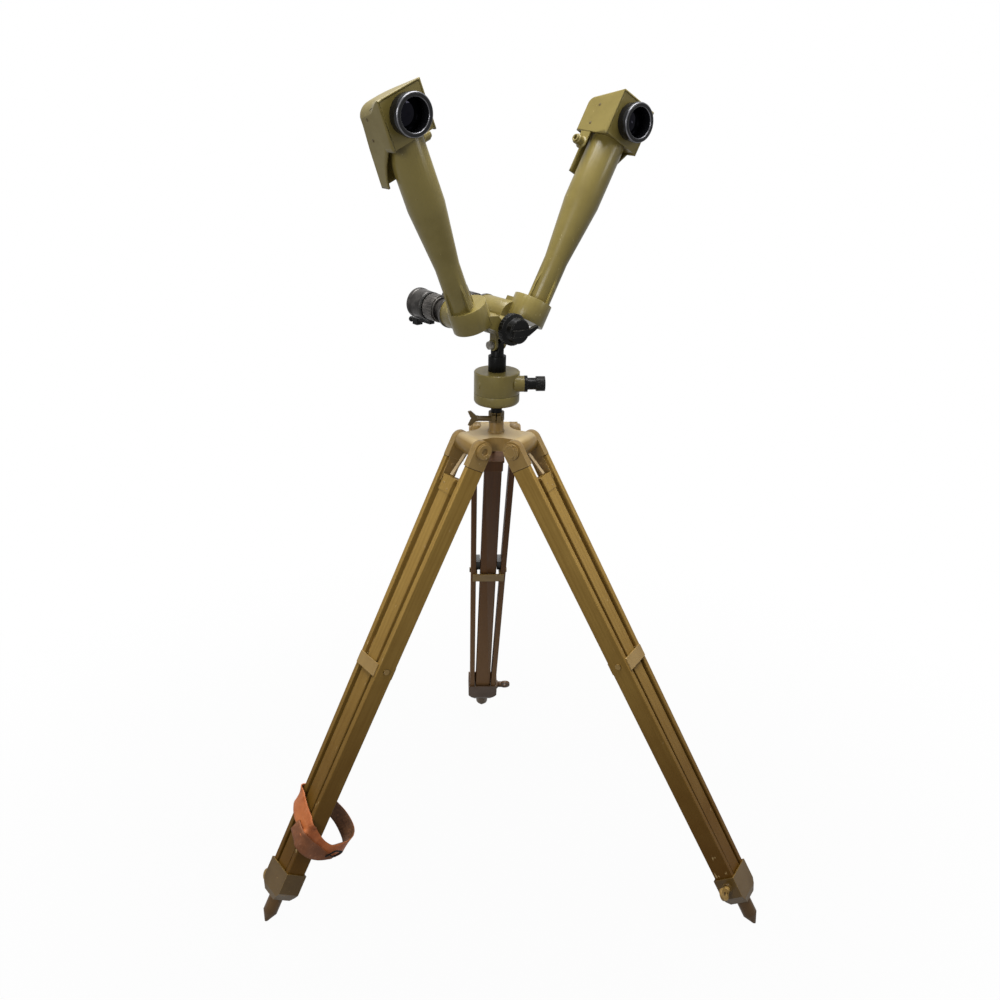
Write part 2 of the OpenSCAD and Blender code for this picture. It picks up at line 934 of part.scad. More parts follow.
// Eyepiece body: flange on the prism barrel, neck, and the sleeve under the focus ring
module eyepiece(side, swing) {
    color(gunmetal)
    at_arm(side, swing)
        translate([eye_u, 0, eye_w])
            turned_y([[13.2, prism_y[1] + gap], [prism_r + 1, prism_y[1] + gap],
                      [prism_r + 1, prism_y[1] + 5], [prism_r - 2, prism_y[1] + 8], [18, 86],
                      [18, 101], [16, 101], [16, 164], [13.2, 164]]);
}

// Ribbed ring that focuses the eyepiece
module focus_ring(side, swing) {
    color(gunmetal)
    at_arm(side, swing)
        translate([eye_u, 0, eye_w])
            difference() {
                turned_y([[16 + run, 103], [21, 103], [21, 106], [23.2, 106], [23.2, 130],
                          [21, 130], [21, 137], [16 + run, 137]]);
                for (a = [0:15:345])
                    rotate([0, a, 0])
                        translate([23.9, 0, 0])
                            bar_y(1.2, 108, 128);
            }
}

// Eyecup screwed on the focus ring, widening to a rolled rim
module eyecup(side, swing) {
    color(black)
    at_arm(side, swing)
        translate([eye_u, 0, eye_w])
            turned_y([[16 + run, 137 + gap], [22.5, 137 + gap], [24, 140], [25, 163], [26, 165],
                      [26, 171], [24.5, 173], [22, 173], [17, 166], [16 + run, 165]]);
}

// Small lever under the left eyecup that swings a filter into the light path
module filter_lever() {
    color(black)
    at_arm(-1, left_swing)
        translate([eye_u, 0, eye_w]) {
            difference() {
                bar_y(24, 132.3, 136.7);
                bar_y(21 + run, 130, 140);
            }
            rotate([0, 180 - left_swing, 0]) {
                translate([-5, 132.3, 23])
                    cube([10, 4.4, 8]);
                translate([-5, 136, 27])
                    cube([10, 36, 4]);
                translate([-6, 168, 27])
                    cube([12, 13, 12]);
                translate([0, 192, 33])
                    sphere(r = 5);
                translate([0, 0, 33])
                    bar_y(2.5, 180, 190);
            }
        }
}

tripod_head();
stem_socket();
stem_clamp();
spread_stops();
pivot_bolts();
pivot_nuts();
stem_clamp_screw();
rails(LEFT, ochre);  // left_rails
ears(LEFT, ochre);  // left_ears
mid_band(LEFT, ochre);  // left_mid_band
shoe(LEFT, ochre);  // left_shoe
slide_bar(LEFT, ochre);  // left_bar
spike(LEFT);  // left_spike
clamp_screw(LEFT, ochre);  // left_clamp_screw
rails(FRONT, ochre);  // front_rails
ears(FRONT, ochre);  // front_ears
mid_band(FRONT, ochre);  // front_mid_band
shoe(FRONT, ochre);  // front_shoe
slide_bar(FRONT, ochre);  // front_bar
spike(FRONT);  // front_spike
clamp_screw(FRONT, ochre);  // front_clamp_screw
rails(REAR, umber);  // rear_rails
ears(REAR, umber);  // rear_ears
mid_band(REAR, ochre);  // rear_mid_band
shoe(REAR, umber);  // rear_shoe
slide_bar(REAR, umber);  // rear_bar
spike(REAR);  // rear_spike
clamp_screw(REAR, umber);  // rear_clamp_screw
leather_strap();
strap_buckle();
stem();
drive_cover();
drive_housing();
worm_shaft();
azimuth_knob();
post();
worm_wheel();
tilt_pin();
hinge_block();
hinge_spindle();
hinge_knob();
elbow(-1, left_swing, front_knuckle);  // left_elbow
tube(-1, left_swing);  // left_tube
head_box(-1, left_swing);  // left_head
head_cover(-1, left_swing);  // left_head_cover
hood(-1, left_swing);  // left_hood
optics(-1, left_swing);  // left_optics
eyepiece(-1, left_swing);  // left_eyepiece
focus_ring(-1, left_swing);  // left_focus_ring
eyecup(-1, left_swing);  // left_eyecup
elbow(1, right_swing, rear_knuckle);  // right_elbow
tube(1, right_swing);  // right_tube
head_box(1, right_swing);  // right_head
head_cover(1, right_swing);  // right_head_cover
hood(1, right_swing);  // right_hood
optics(1, right_swing);  // right_optics
eyepiece(1, right_swing);  // right_eyepiece
focus_ring(1, right_swing);  // right_focus_ring
eyecup(1, right_swing);  // right_eyecup
filter_lever();
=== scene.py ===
"""Periscopic binoculars on a wooden tripod: finishes and soft parts round the CAD frame."""
import bpy
import bmesh
import numpy as np
from mathutils import Matrix, Vector


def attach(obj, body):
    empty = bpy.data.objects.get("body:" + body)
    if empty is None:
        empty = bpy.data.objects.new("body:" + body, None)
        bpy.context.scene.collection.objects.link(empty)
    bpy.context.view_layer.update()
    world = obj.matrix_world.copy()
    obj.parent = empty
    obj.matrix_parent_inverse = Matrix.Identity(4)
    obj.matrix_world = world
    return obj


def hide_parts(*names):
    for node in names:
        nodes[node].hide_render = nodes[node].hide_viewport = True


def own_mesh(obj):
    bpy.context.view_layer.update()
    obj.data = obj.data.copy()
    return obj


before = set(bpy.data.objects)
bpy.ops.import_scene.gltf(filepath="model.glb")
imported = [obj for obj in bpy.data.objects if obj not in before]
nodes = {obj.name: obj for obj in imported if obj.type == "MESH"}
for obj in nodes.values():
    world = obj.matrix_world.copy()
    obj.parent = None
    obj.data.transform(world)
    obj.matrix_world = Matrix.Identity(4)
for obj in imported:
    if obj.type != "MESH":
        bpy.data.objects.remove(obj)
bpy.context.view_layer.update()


# Viewpoint: somebody standing a good two metres off to the left of the sight line, as high as the
# instrument's heads and looking down its legs, with the picture rolled by less than a degree.
sight = Vector((0.6000, 0.7151, -0.3587)).normalized()
level = sight.cross(Vector((0, 0, 1))).normalized()
upright = level.cross(sight)
roll = np.radians(0.89)
across = level * np.cos(roll) + upright * np.sin(roll)
above = upright * np.cos(roll) - level * np.sin(roll)
eye = bpy.data.objects.new("eye", bpy.data.cameras.new("eye"))
eye.data.lens = 47.30
eye.data.sensor_width = 36
eye.data.clip_end = 60
eye.matrix_world = Matrix((across, above, -sight)).transposed().to_4x4()
eye.location = (-1.3638, -1.6385, 1.5164)
bpy.context.scene.collection.objects.link(eye)
bpy.context.scene.camera = eye
bpy.context.scene.view_settings.view_transform = "Standard"


# Room: a floor that keeps the tripod's soft shadow, white walls that the eye sees in full and
# gloss about half, one broad lamp overhead, and two weaker ones at the left and the right.
class Wire:
    """A socket in a material's nodes. Sums of wires add Math nodes, and node() adds any other."""

    def __init__(self, tree, socket=None):
        self.tree, self.socket = tree, socket

    def node(self, kind, settings=None, sockets=None, out=0):
        """Adds a node, sets it up, fills its sockets with values or wires, gives one output."""
        made = self.tree.nodes.new("ShaderNode" + kind)
        for name, value in (settings or {}).items():
            setattr(made, name, value)
        for key, value in (sockets or {}).items():
            if isinstance(value, Wire):
                self.tree.links.new(value.socket, made.inputs[key])
            else:
                made.inputs[key].default_value = value
        return Wire(self.tree, made.outputs[out]) if made.outputs else None

    def sum(self, operation, *terms):
        """One Math node on wires or numbers."""
        return self.node("Math", {"operation": operation}, dict(enumerate(terms)))

    def ease(self, low, high):
        """0 below low, 1 above high, and smooth between them."""
        return self.node("MapRange", {"interpolation_type": "SMOOTHSTEP"},
                         {"Value": self, "From Min": low, "From Max": high})

    def at_most(self, limit):
        return self.sum("MINIMUM", self, limit)

    def at_least(self, limit):
        return self.sum("MAXIMUM", self, limit)

    def __add__(self, other):
        return self.sum("ADD", self, other)

    def __sub__(self, other):
        return self.sum("SUBTRACT", self, other)

    def __rsub__(self, other):
        return self.sum("SUBTRACT", other, self)

    def __mul__(self, other):
        return self.sum("MULTIPLY", self, other)

    __radd__ = __add__
    __rmul__ = __mul__


def tint(code):
    """A colour written as six hex digits, in the linear values that sockets hold."""
    part = np.array([int(code[i:i + 2], 16) for i in (0, 2, 4)]) / 255
    part = np.where(part < 0.04045, part / 12.92, ((part + 0.055) / 1.055) ** 2.4)
    return (*part.tolist(), 1.0)


def seen_directly(start):
    """1 for the rays of the eye and of glass, about half for the rays of gloss, and 0 for the
    rays that light the object."""
    return (start.node("LightPath", out="Is Camera Ray")
            + start.node("LightPath", out="Is Glossy Ray") * 0.55
            + start.node("LightPath", out="Is Transmission Ray")).at_most(1)


def pale_floor():
    """Grey paint that throws little light back up, lifted nearly to pure white for the eye under
    the tripod, and all the way to it further out, so that no horizon shows."""
    paint = bpy.data.materials.new("pale floor")
    paint.use_nodes = True
    paint.node_tree.nodes.clear()
    start = Wire(paint.node_tree)
    matt = start.node("BsdfDiffuse", {}, {"Color": tint("7a7a7a")})
    glow = start.node("Emission", {}, {"Color": tint("ffffff"), "Strength": 1.0})
    away = start.node("VectorMath", {"operation": "LENGTH"},
                      {0: start.node("TexCoord", out="Object")}, out="Value").ease(0.35, 1.5)
    lift = seen_directly(start) * (away * 0.03 + 0.97)
    both = start.node("MixShader", {}, {"Fac": lift, 1: matt, 2: glow})
    start.node("OutputMaterial", {}, {"Surface": both})
    return paint


floor_mesh = bpy.data.meshes.new("floor")
floor_mesh.from_pydata([(-9, -9, 0), (9, -9, 0), (9, 9, 0), (-9, 9, 0)], [], [(0, 1, 2, 3)])
floor_mesh.materials.append(pale_floor())
floor = bpy.data.objects.new("floor", floor_mesh)
bpy.context.scene.collection.objects.link(floor)

room = bpy.data.worlds.new("room")
bpy.context.scene.world = room
room.use_nodes = True
room.node_tree.nodes.clear()
walls = Wire(room.node_tree)
wall_light = 0.19
walls.node("OutputWorld", {}, {"Surface": walls.node("Background", {}, {
    "Color": tint("ffffff"),
    "Strength": seen_directly(walls) * (1 - wall_light) + wall_light})})


def lamp(name, place, aim, size, power):
    """A square soft box turned from its place to what it is aimed at."""
    box = bpy.data.objects.new(name, bpy.data.lights.new(name, "AREA"))
    box.data.size, box.data.energy = size, power
    turn = (Vector(aim) - Vector(place)).to_track_quat("-Z", "Y")
    box.matrix_world = Matrix.Translation(place) @ turn.to_matrix().to_4x4()
    bpy.context.scene.collection.objects.link(box)


lamp("lamp overhead", (0.2, 0.1, 3.1), (0, 0, 0.9), 2.0, 100)
lamp("lamp at the left", (-2.6, -0.8, 1.9), (0, 0, 0.9), 1.0, 27)
lamp("lamp at the right", (1.7, -2.4, 2.2), (0, 0, 0.9), 0.7, 11)


# Tripod head: a light casting with a barrel for each leg and a sleeve for the stem, sprayed in
# ochre olive enamel that has gone pale on its edges and been nicked down to the primer.
def new_finish(name):
    """An empty node material, and the wire of a surface's own place, to start its nodes from."""
    finish = bpy.data.materials.new(name)
    finish.use_nodes = True
    finish.node_tree.nodes.clear()
    return finish, Wire(finish.node_tree).node("TexCoord", out="Object")


def surface(place, sockets):
    """Ends a finish in one Principled surface, its sockets filled with values or wires."""
    place.node("OutputMaterial", {}, {"Surface": place.node("BsdfPrincipled", {}, sockets)})


def noise(place, scale, detail=3.0, roughness=0.55):
    """Cloudy values round one half, with the given number of clouds to the metre."""
    return place.node("TexNoise", {}, {"Vector": place, "Scale": scale, "Detail": detail,
                                       "Roughness": roughness})


def mixed(factor, first, second):
    """One colour turning into another as the factor goes from 0 to 1."""
    return factor.node("Mix", {"data_type": "RGBA"}, {0: factor, 6: first, 7: second}, out=2)


def edges(place, width):
    """0 on faces, rising to 1 at edges: how far the rounded normal leans from the true one."""
    rounded = place.node("Bevel", {"samples": 4}, {"Radius": width})
    own = place.node("NewGeometry", out="Normal")
    agree = own.node("VectorMath", {"operation": "DOT_PRODUCT"}, {0: rounded, 1: own}, out="Value")
    return (1 - agree).ease(0.02, 0.16)


def rough_skin(height, strength, distance):
    """The normal of a surface that rises and falls with a height wire."""
    return height.node("Bump", {}, {"Strength": strength, "Distance": distance,
                                    "Height": height})


def enamel(name, coat, deep, worn, gloss=0.38, nicks=0.69, rub=0.55, accent=None):
    """Sprayed enamel. Patches drift to a deeper colour, edges and small nicks show the worn one,
    and an orange peel about a tenth of a millimetre deep ripples the gloss. An accent is a colour
    and where it shows, as a function of the place."""
    finish, place = new_finish(name)
    drift = noise(place, 13, 5.0, 0.62).ease(0.36, 0.66)
    haze = noise(place, 46, 3.0)
    rim = edges(place, 0.0016) * noise(place, 85, 2.0).ease(0.34, 0.6)
    nick = noise(place, 240, 1.0).ease(nicks, nicks + 0.03) * noise(place, 21, 1.0).ease(0.5, 0.62)
    bare = (rim * rub + nick).at_most(1)
    colour = mixed(bare, mixed(drift * 0.55 + haze * 0.2, tint(coat), tint(deep)), tint(worn))
    if accent:
        accent_colour, where = accent
        colour = mixed(where(place), colour, tint(accent_colour))
    peel = noise(place, 620, 2.0) * 0.5 + noise(place, 95, 2.0) * 0.5 - nick * 0.6
    surface(place, {
        "Base Color": colour,
        "Roughness": drift * 0.10 + haze * 0.12 + (gloss - 0.1) + bare * 0.08,
        "Specular IOR Level": 0.30,
        "Coat Weight": 0.22 - bare * 0.20,
        "Coat Roughness": 0.26,
        "Normal": rough_skin(peel, 0.22, 0.0006)})
    return finish


def dress(finish, names, edge=0.0008):
    """Gives CAD nodes their finish. Modifiers close their seams and break their edges, and leave
    the meshes themselves alone."""
    for name in names.split():
        for spot in nodes[name].material_slots:
            spot.material = finish
        seams = nodes[name].modifiers.new("seams closed", "WELD")
        seams.merge_threshold = 0.00001
        broken = nodes[name].modifiers.new("edges broken", "BEVEL")
        broken.width, broken.segments = edge, 2
        broken.limit_method, broken.angle_limit = "ANGLE", np.radians(32)
        broken.harden_normals = True


def facing_up(place):
    """1 on faces that look up, 0 on upright ones."""
    own = place.node("NewGeometry", out="Normal")
    return own.node("SeparateXYZ", {}, {"Vector": own}, out="Z").ease(0.55, 0.95)


OCHRE = ("a4854a", "866834", "d2b88a")  # coat, deep and worn
ochre = enamel("ochre olive enamel", *OCHRE)
# Painted highlight: the head's upward faces are mixed to a pale tan for the overhead light.
painted_top_light = enamel("faded ochre enamel", *OCHRE,
               accent=("d9bf8c", lambda place: facing_up(place) * 0.85))
dress(painted_top_light, "tripod_head", 0.0014)
dress(ochre, "stem_socket", 0.0014)


# Stem clamp: a split bronze collar on the sleeve, drawn together by a wing screw. Both are
# painted dark umber, rubbed to a duller brown where fingers and the spanner reach.
umber = enamel("umber enamel", "6b572c", "4a3a1c", "9c8450", 0.40, 0.72, 0.8)
dress(umber, "stem_clamp stem_clamp_screw", 0.0007)


# Leg pivots: steel bolts with a round socket head on one side and a three notch nut on the
# other, painted over with the head. Steel tongues under the barrels stop the legs, and the legs
# have rubbed their paint pale.
dress(ochre, "pivot_bolts pivot_nuts", 0.0006)
dress(enamel("rubbed tongue", "c6ad84", "a68d62", "ddc9a4", 0.45), "spread_stops", 0.0004)


# Rails and sliding bars: planed ash under brushed ochre olive paint, darker and browner
# towards the ground as painted shade of the lower legs. The rear leg is an older one in dark
# umber paint, which has gone paler lower down.
LEG = {"left": (173, 27.2), "front": (293, 30.5), "rear": (53, 29.9)}  # heading, spread
PIVOT_OUT, PIVOT_UP = 50, 806  # mm from the tripod's axis and from the floor


def on_leg(leg, points):
    """Points of a leg's own frame in mm (outward, sideways, up the leg from its pivot) put in the
    object's: leaned by the leg's spread, set on the pivot circle, turned to its heading."""
    heading, spread = np.radians(LEG[leg])
    out, side, up = np.moveaxis(np.asarray(points, float), -1, 0)
    far = out * np.cos(spread) - up * np.sin(spread) + PIVOT_OUT
    high = out * np.sin(spread) + up * np.cos(spread) + PIVOT_UP
    return np.stack([far * np.cos(heading) - side * np.sin(heading),
                     far * np.sin(heading) + side * np.cos(heading), high], -1) / 1000


def leg_place(place, leg):
    """A place in the object's frame turned into a leg's own, in metres, by a Mapping."""
    heading, spread = np.radians(LEG[leg])
    pivot = tuple(on_leg(leg, (0, 0, 0)).tolist())
    return place.node("Mapping", {"vector_type": "TEXTURE"}, {
        "Vector": place, "Location": pivot, "Rotation": (0, -spread, heading)})


def down_leg(own):
    """Metres down the leg from its pivot."""
    return own.node("SeparateXYZ", {}, {"Vector": own}, out="Z") * -1


def painted_ash(name, leg, coat, deep, low, worn):
    """Brushed paint on ash. The fibres under the paint and the brush marks run along the leg;
    the colour drifts to its lower one down the leg, as painted shade where that one is darker,
    and is darkened as painted shade of the joint in the first 2 mm below the hinge ear."""
    finish, place = new_finish(name)
    own = leg_place(place, leg)
    down = down_leg(own)
    long = own.node("Mapping", {}, {"Vector": own, "Scale": (1, 1, 0.03)})
    fibre = noise(long, 520, 4.0, 0.7)
    brush = noise(long, 190, 2.0)
    cloud = noise(place, 17, 4.0, 0.6)
    scuff = noise(own.node("Mapping", {}, {"Vector": own, "Scale": (1, 1, 0.35)}), 130, 2.0)
    nick = scuff.ease(0.70, 0.74) * cloud.ease(0.45, 0.6)
    # The pale edges are partly rubbed paint and partly a painted highlight along the rounded edges.
    rim = edges(place, 0.0018) * noise(own, 60, 3.0).ease(0.36, 0.62)
    # Down the leg the colour turns to the low one: a darker brown on the left and front legs, which
    # is painted shade of the lower leg, and a paler one on the rear leg.
    shade_and_dust_down_leg = down.ease(0.10, 0.86) * 0.95 + cloud * 0.35 - 0.15
    # Painted shade: the first 2 mm below the hinge ear are darkened for the joint under its edge.
    ear_gap_shade = 1 - down.ease(0.0335, 0.0352)
    body = mixed(brush.ease(0.35, 0.65) * 0.5, tint(coat), tint(deep))
    painted = mixed((rim * 0.55 + nick * 0.8).at_most(1),
                    mixed(shade_and_dust_down_leg.at_least(0).at_most(1), body, tint(low)), tint(worn))
    grain = fibre * 0.5 + brush * 0.4 + noise(place, 75, 2.0) * 0.3 - nick * 0.5
    surface(place, {
        "Base Color": mixed(ear_gap_shade * 0.85, painted, tint("1f170d")),
        "Roughness": fibre * 0.14 + cloud * 0.16 + 0.34,
        "Specular IOR Level": 0.16,
        "Normal": rough_skin(grain, 0.30, 0.0007)})
    return finish


for leg in ("left", "front"):
    ash = painted_ash("painted ash " + leg, leg, "a88745", "8f6f33", "60400c", "c6a974")
    dress(ash, f"{leg}_rails {leg}_bar", 0.0011)
dark_ash = painted_ash("painted ash rear", "rear", "643e1a", "4e3014", "8a6743", "9c7c50")
dress(dark_ash, "rear_rails rear_bar", 0.0011)


# Metal of the legs: cast hinge ears, the band round each leg at half height, sheet steel shoes
# that guide the bars, and ring headed screws that clamp them. All is ochre, but for the browner
# shoes, and the black guide blocks and the brown foot metal of the rear leg.
for leg in ("left", "front"):
    dress(ochre, f"{leg}_ears {leg}_mid_band {leg}_clamp_screw", 0.0007)
shoe_paint = enamel("shoe enamel", "664d1d", "4d3712", "a88850", 0.42, 0.75, 0.9)
dress(shoe_paint, "left_shoe front_shoe", 0.0007)
dress(ochre, "rear_ears", 0.0007)
blocks_end = 0.398
blocked = enamel("ochre band, black blocks", *OCHRE, accent=(
    "100f0d", lambda place: 1 - down_leg(leg_place(place, "rear")).ease(
        blocks_end, blocks_end + 0.001)))
dress(blocked, "rear_mid_band", 0.0007)
browned = enamel("browned steel", "614528", "46301a", "8c6d48", 0.45, 0.72, 0.6)
dress(browned, "rear_shoe rear_clamp_screw", 0.0007)


# Spikes: turned steel points on the sliding bars, once painted and now scraped by the ground,
# with soil left on the taper.
dress(enamel("scraped spike", "6a4c22", "4a3216", "a08558", 0.5, 0.70, 0.8),
      "left_spike front_spike rear_spike", 0.0006)


# Bar caps: each sliding bar ends in a sheet metal cap with a flared lip, held by two rivets on
# its outer face and one on each side.
def whole_turn(steps):
    """Angles of a full circle in equal steps, without the last one, which is the first again."""
    return np.arange(steps) * 2 * np.pi / steps


def turned(profile, steps):
    """Points of a turned form: each (radius, height) of the profile carried round the z axis."""
    angle = whole_turn(steps)
    radius, height = np.asarray(profile, float).T
    return np.stack([np.outer(radius, np.cos(angle)), np.outer(radius, np.sin(angle)),
                     np.outer(height, np.ones(steps))], -1)


def stood(form, foot, axis, sign=1):
    """A form stood on its foot in a frame: its height runs along the given axis, turned over by a
    negative sign, and its own x and y run along the other two."""
    placed = np.empty(form.shape)
    placed[..., [i for i in range(3) if i != axis]] = form[..., :2]
    placed[..., axis] = sign * form[..., 2]
    return placed + foot


def grid_faces(rows, columns, round_rows=False, round_columns=False):
    """The squares of a grid of points as rows of four corners, closed on itself where asked."""
    spots = np.arange(rows * columns).reshape(rows, columns)
    if round_rows:
        spots = np.vstack([spots, spots[:1]])
    if round_columns:
        spots = np.hstack([spots, spots[:, :1]])
    return np.stack([spots[:-1, :-1], spots[:-1, 1:], spots[1:, 1:], spots[1:, :-1]],
                    -1).reshape(-1, 4).tolist()


def tube_form(points, ends=True):
    """(points, faces) of a grid whose rows are rings: each end is closed by one face, or else the
    last ring joins the first."""
    rows, columns = points.shape[:2]
    faces = grid_faces(rows, columns, not ends, True)
    if ends:
        faces += [list(range(columns))[::-1],
                  list(range((rows - 1) * columns, rows * columns))]
    return points.reshape(-1, 3), faces


def piece(name, forms, finish, body, crease=35):
    """One object out of several forms, each (points in the object's frame, faces). Normals are
    turned outwards, faces shade smooth, and edges sharper than the crease angle stay sharp."""
    points = np.vstack([p for p, f in forms])
    shift = np.cumsum([0] + [len(p) for p, f in forms])
    faces = [[int(i) + int(s) for i in face] for (p, f), s in zip(forms, shift) for face in f]
    mesh = bpy.data.meshes.new(name)
    mesh.from_pydata(points.tolist(), [], faces)
    work = bmesh.new()
    work.from_mesh(mesh)
    bmesh.ops.remove_doubles(work, verts=work.verts, dist=0.000002)
    bmesh.ops.recalc_face_normals(work, faces=work.faces)
    work.to_mesh(mesh)
    work.free()
    mesh.shade_smooth()
    mesh.set_sharp_from_angle(angle=np.radians(crease))
    mesh.materials.append(finish)
    made = bpy.data.objects.new(name, mesh)
    bpy.context.scene.collection.objects.link(made)
    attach(made, body)
    return made


def rivet_head(radius, rise):
    """Low dome of a closed rivet, its foot sunk a little: radius falls as the height's circle."""
    lift = np.linspace(0, 1, 6)
    dome = np.stack([radius * np.sqrt(1 - 0.96 * lift ** 2), rise * lift], -1)
    return turned(np.vstack([[[radius, -0.4]], dome]), 20)


cap_face, cap_side = 16, 17.2
rivet = rivet_head(1.8, 0.7)
rivets = [stood(rivet, (cap_face, -7, -75), 0), stood(rivet, (cap_face, 7, -83), 0),
          stood(rivet, (0, -cap_side, -78), 1, -1), stood(rivet, (0, cap_side, -78), 1)]
for leg, finish, slot in (("left", ochre, "ochre_metal"), ("front", ochre, "ochre_metal"),
                          ("rear", browned, "umber_metal")):
    piece(leg + "_cap_rivets", [tube_form(on_leg(leg, form)) for form in rivets], finish,
          leg + "_foot")


# Carrying strap: a band of tan saddle leather buckled loosely round the left leg, worn pale on
# its face and dark along its cut edges. The darker billet lies over it round the near corner.
def saddle_leather(name, face, deep, worn):
    """Oiled leather: pores from small cells, creases across the band, darker patches of oil, and
    worn colour on the edges."""
    finish, place = new_finish(name)
    pore = place.node("TexVoronoi", {"feature": "DISTANCE_TO_EDGE"},
                      {"Vector": place, "Scale": 900})
    patch = noise(place, 34, 5.0, 0.62).ease(0.36, 0.68)
    scuff = noise(place, 150, 4.0, 0.7).ease(0.56, 0.72)
    oiled = mixed(patch * 0.8, tint(face), tint(deep))
    crease = noise(place, 70, 3.0, 0.6) * 0.7 + pore.ease(0.0, 0.25) * 0.35
    surface(place, {
        "Base Color": mixed(edges(place, 0.0012) * 0.75,
                            mixed(scuff * 0.35, oiled, tint("e09a74")), tint(worn)),
        "Roughness": patch * 0.12 + scuff * 0.15 + 0.42,
        "Specular IOR Level": 0.4,
        "Normal": rough_skin(crease, 0.35, 0.0006)})
    return finish


STRAP_DROP = 716
STRAP_LEAN = (-33, -17)


def on_strap(points):
    """Points of the strap's own frame in mm put in the object's: its plane lies across the left
    leg, its drop below the pivot, and leans down on the near side and towards its free loop."""
    near, outward = np.radians(STRAP_LEAN)
    x, y, z = np.moveaxis(np.asarray(points, float), -1, 0)
    y, z = y * np.cos(near) - z * np.sin(near), y * np.sin(near) + z * np.cos(near)
    x, z = x * np.cos(outward) + z * np.sin(outward), -x * np.sin(outward) + z * np.cos(outward)
    return on_leg("left", np.stack([x, y, z - STRAP_DROP], -1))


def spline(knots, steps, closed):
    """Smooth curve through knots: each span is a cubic whose end slopes are half the step from
    the knot before to the knot after."""
    knots = np.asarray(knots, float)
    if closed:
        knots = np.vstack([knots[-1:], knots, knots[:2]])
    else:
        knots = np.vstack([2 * knots[0] - knots[1], knots, 2 * knots[-1] - knots[-2]])
    t = np.linspace(0, 1, steps, endpoint=False)[:, None]
    before, first, second, after = (knots[i:len(knots) - 3 + i, None] for i in range(4))
    line = 0.5 * (2 * first + (second - before) * t
                  + (2 * before - 5 * first + 4 * second - after) * t ** 2
                  + (3 * first - before - 3 * second + after) * t ** 3)
    line = line.reshape(-1, knots.shape[1])
    return line if closed else np.vstack([line, knots[-2:-1]])


def ribbon(line, wide, thick, closed):
    """A flat strap carried along a line, its width upright. Each row of the line is a place
    (x, y, z), a lean of the width from upright in degrees, and a width factor. The section is a
    rectangle with rounded edges: width times the half circle's cosine, thickness times its sine."""
    place, lean, share = line[:, :3], np.radians(line[:, 3]), line[:, 4]
    if closed:
        ahead = np.roll(place, -1, 0) - np.roll(place, 1, 0)
    else:
        ahead = np.gradient(place, axis=0)
    ahead /= np.linalg.norm(ahead, axis=1, keepdims=True)
    out = np.cross(ahead, [0, 0, 1.0])
    out /= np.linalg.norm(out, axis=1, keepdims=True)
    up = np.cross(out, ahead)
    wide_way = up * np.cos(lean)[:, None] + out * np.sin(lean)[:, None]
    thick_way = np.cross(ahead, wide_way)
    turn = np.radians([-75, -45, -15, 15, 45, 75])
    flat = np.linspace(-1, 1, 9)[1:-1]
    face = np.ones(len(flat))
    edge_round = 0.9
    edge = wide / 2 - edge_round
    across = np.concatenate([edge + edge_round * np.cos(turn), flat[::-1] * edge,
                             -edge - edge_round * np.cos(turn), flat * edge])
    through = np.concatenate([np.sin(turn), face, np.sin(turn)[::-1], -face]) * thick / 2
    return (place[:, None] + wide_way[:, None] * (across * share[:, None])[..., None]
            + thick_way[:, None] * through[:, None])


strap_width, billet_width, strap_thickness = 27, 24, 2.5
tan_leather = saddle_leather("tan saddle leather", "cc7742", "ab5a2c", "6b3a22")
loop = [(19.4, 22, -706, 0, 1.2), (23.5, 2, -697, 2, 1.4), (23.0, -18, -685, 2, 1.4),
        (18.5, -31.2, -676, 0, 1.25), (6, -32.4, -672, 0, 1.1), (-10, -33, -673, 0, 1.05),
        (-30, -33, -680, 0, 1), (-54, -28, -692, 0, 1), (-76, -19, -706, -6, 1.05),
        (-88, -5, -720, -12, 1.1), (-88, 9, -731, -14, 1.1), (-78, 22, -738, -8, 1.05),
        (-60, 30, -743, 0, 1), (-42, 33, -746, 0, 0.9), (-22, 33, -741, 0, 0.95),
        (-6, 32.6, -733, 0, 1.05), (8, 32.4, -723, 0, 1.1), (17.2, 30.8, -713, 0, 1.12)]
course = on_leg("left", ribbon(spline(loop, 10, True), strap_width, strap_thickness, True))
band = piece("strap_band", [tube_form(course, ends=False)], tan_leather, "left_leg", 60)
flesh_side = saddle_leather("flesh side of the strap", "7a5334", "4c2f1a", "8f6a48")
band.data.materials.append(flesh_side)
hollow = Vector(course.mean((0, 1)))
for face in band.data.polygons:
    looks_in = face.normal.dot(hollow - face.center) > 0.004
    face.material_index = int(looks_in)
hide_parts("leather_strap")
billet_leather = saddle_leather("dark billet leather", "8f5834", "6d4125", "4b2917")
billet = [(26.4, 3, -719, 0, 1.1), (25.8, 17, -726, 0, 1.15), (23.2, 31.4, -733, 0, 1.2),
          (9.6, 37.4, -742, 0, 1.2), (-8, 37, -749, 0, 1.15), (-22, 36.4, -753, 0, 0.95),
          (-34, 36.2, -755, 0, 0.66), (-44, 36, -756, 0, 0.34), (-50, 36, -757, 0, 0.1)]
billet_course = ribbon(spline(billet, 6, False), billet_width, strap_thickness, False)
tongue = piece("strap_billet", [tube_form(on_leg("left", billet_course))], billet_leather,
               "left_leg", 60)


